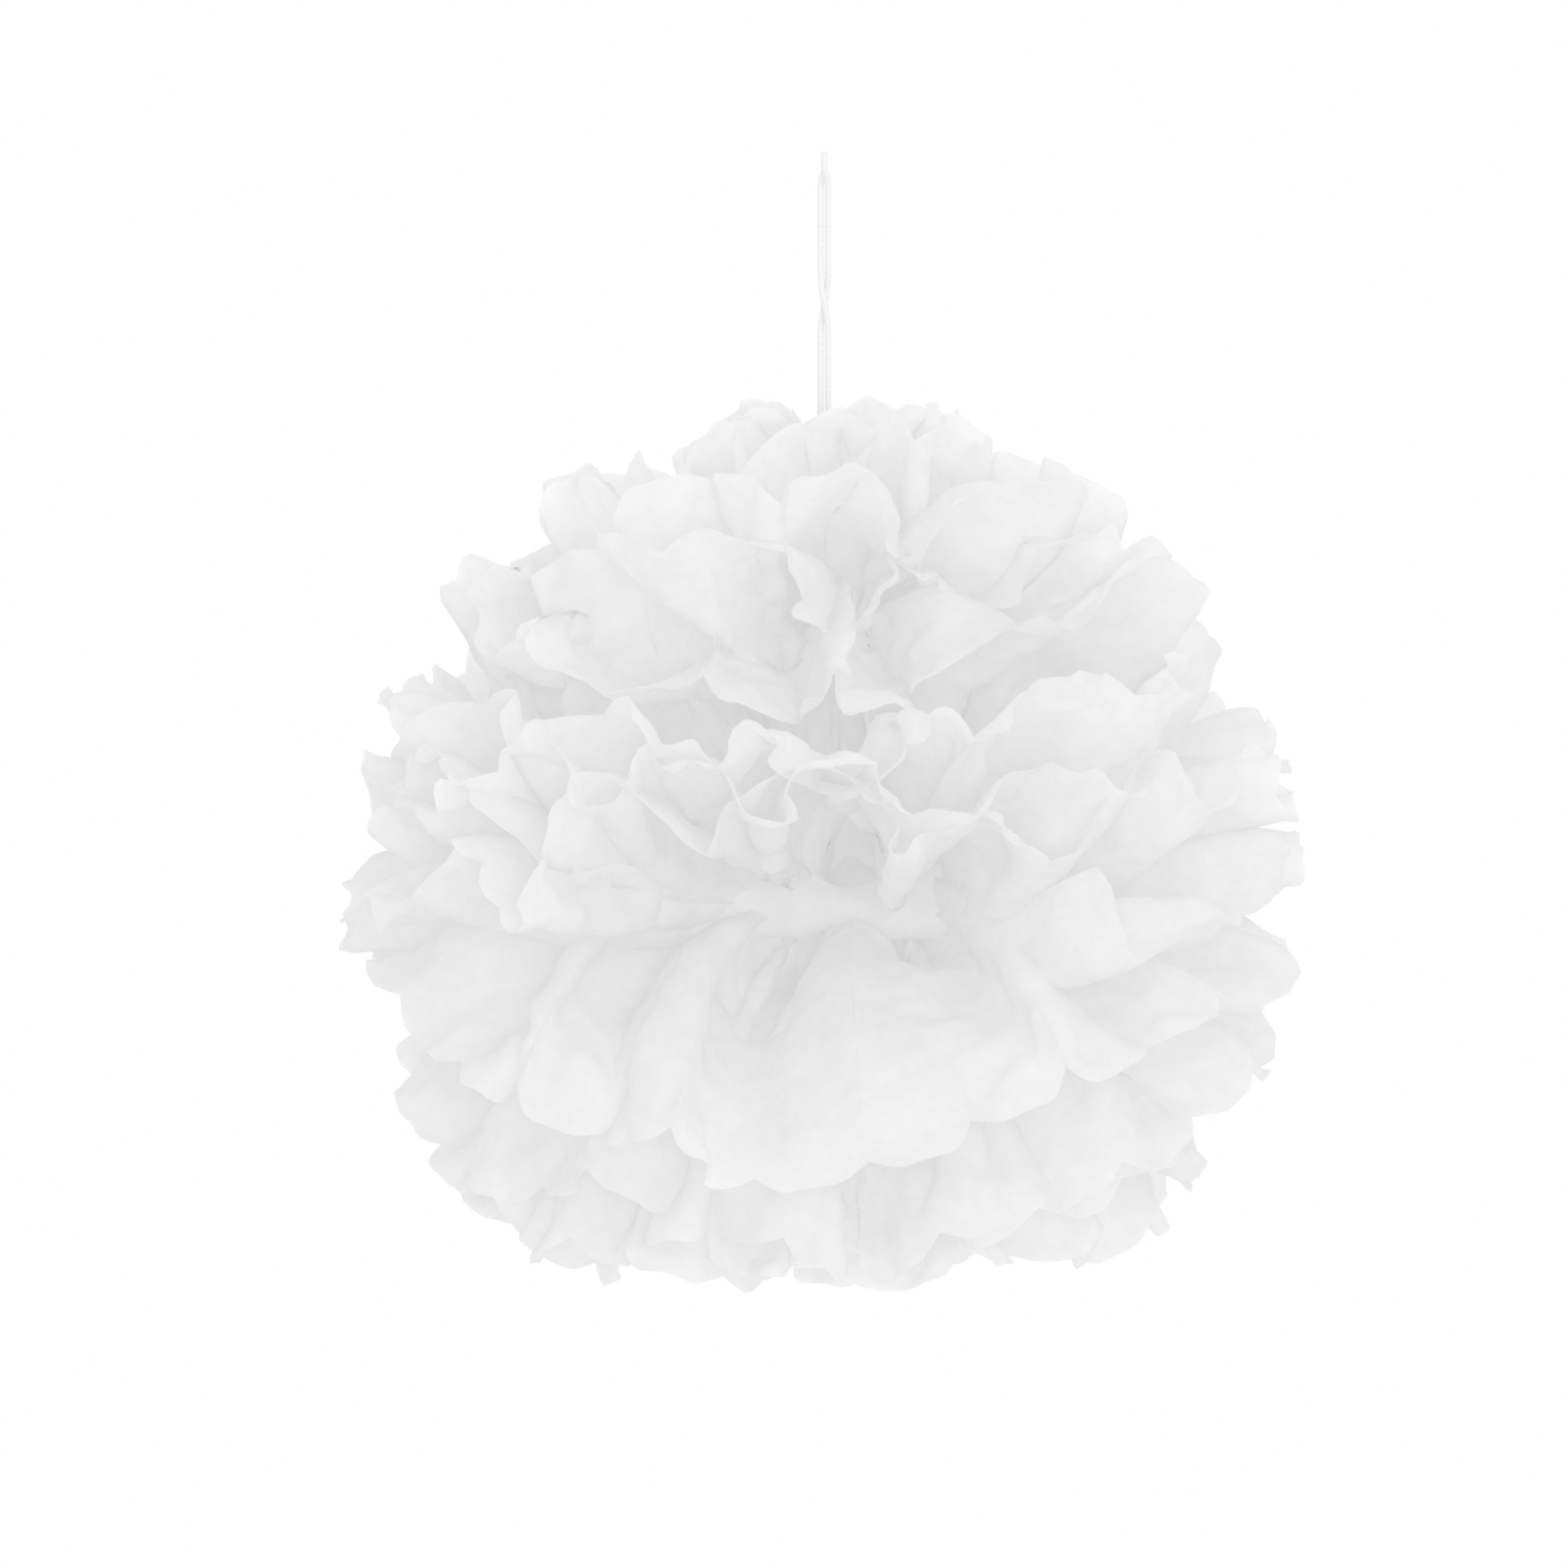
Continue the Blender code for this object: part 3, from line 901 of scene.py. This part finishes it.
def add_sheets():
    paper = tissue_material()
    flat = flat_grid()
    shape = sheet_shapes(flat)
    for k in range(SHEETS):
        grid = join_halves(shape[k])
        grid[..., 2] += TIE_Z
        name = f"paper_{k + 1:02d}"
        piece = show(name, grid_mesh(name, grid), paper)
        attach(piece, "ball")
        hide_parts(f"tissue_sheet_{k + 1:02d}")


def add_loop(cotton):
    """The eye and the first bend, from the hook to the middle of the link."""
    mesh, path = string_mesh("hanging_loop", eye_points(), STRAND_RADIUS)
    loop = show("hanging_loop", mesh, cotton)
    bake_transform(loop)
    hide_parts("cord_top")


def add_strand(side, letter, cotton):
    """One of the two strands, from the knot up to the middle of the link."""
    bottom = TIE_Z + KNOT_Z + KNOT_HALF_HEIGHT + TOUCH_GAP - INTO_KNOT
    heights = np.linspace(bottom, LINK_MIDDLE, STRAND_POINTS)
    mesh, path = string_mesh(f"strand_{letter}", strand_points(side, heights), STRAND_RADIUS)
    strand = show(f"strand_{letter}", mesh, cotton)
    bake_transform(strand)
    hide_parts(f"cord_link_{letter}", f"cord_drop_{letter}")


def add_knot(cotton):
    mesh, _ = string_mesh("knot", knot_points(), STRAND_RADIUS, closed=True)
    knot = show("knot", mesh, cotton)
    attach(knot, "ball")
    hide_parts("cord_knot")


def add_tie():
    mesh, _ = string_mesh("tie", tie_points(), WIRE_RADIUS, plies=2, lay=WIRE_LAY, around=16, closed=True)
    tie = show("tie", mesh, simple("white_wire", WIRE, roughness=0.4))
    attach(tie, "ball")
    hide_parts("tie_wire")


def add_floor():
    mesh = bpy.data.meshes.new("floor")
    corners = [(x * FLOOR_HALF, y * FLOOR_HALF, FLOOR_Z) for x, y in ((-1, -1), (1, -1), (1, 1), (-1, 1))]
    mesh.from_pydata(corners, [], [(0, 1, 2, 3)])
    floor = show("floor", mesh, floor_material())


make_camera()
make_world()
for light in LIGHTS:
    area_light(*light)
bpy.context.scene.view_settings.view_transform = "Standard"
bpy.context.scene.view_settings.gamma = TONE_GAMMA

add_sheets()
cotton = simple("cotton_string", COTTON)
add_loop(cotton)
add_strand(1, "a", cotton)
add_strand(-1, "b", cotton)
add_knot(cotton)
add_tie()
add_floor()
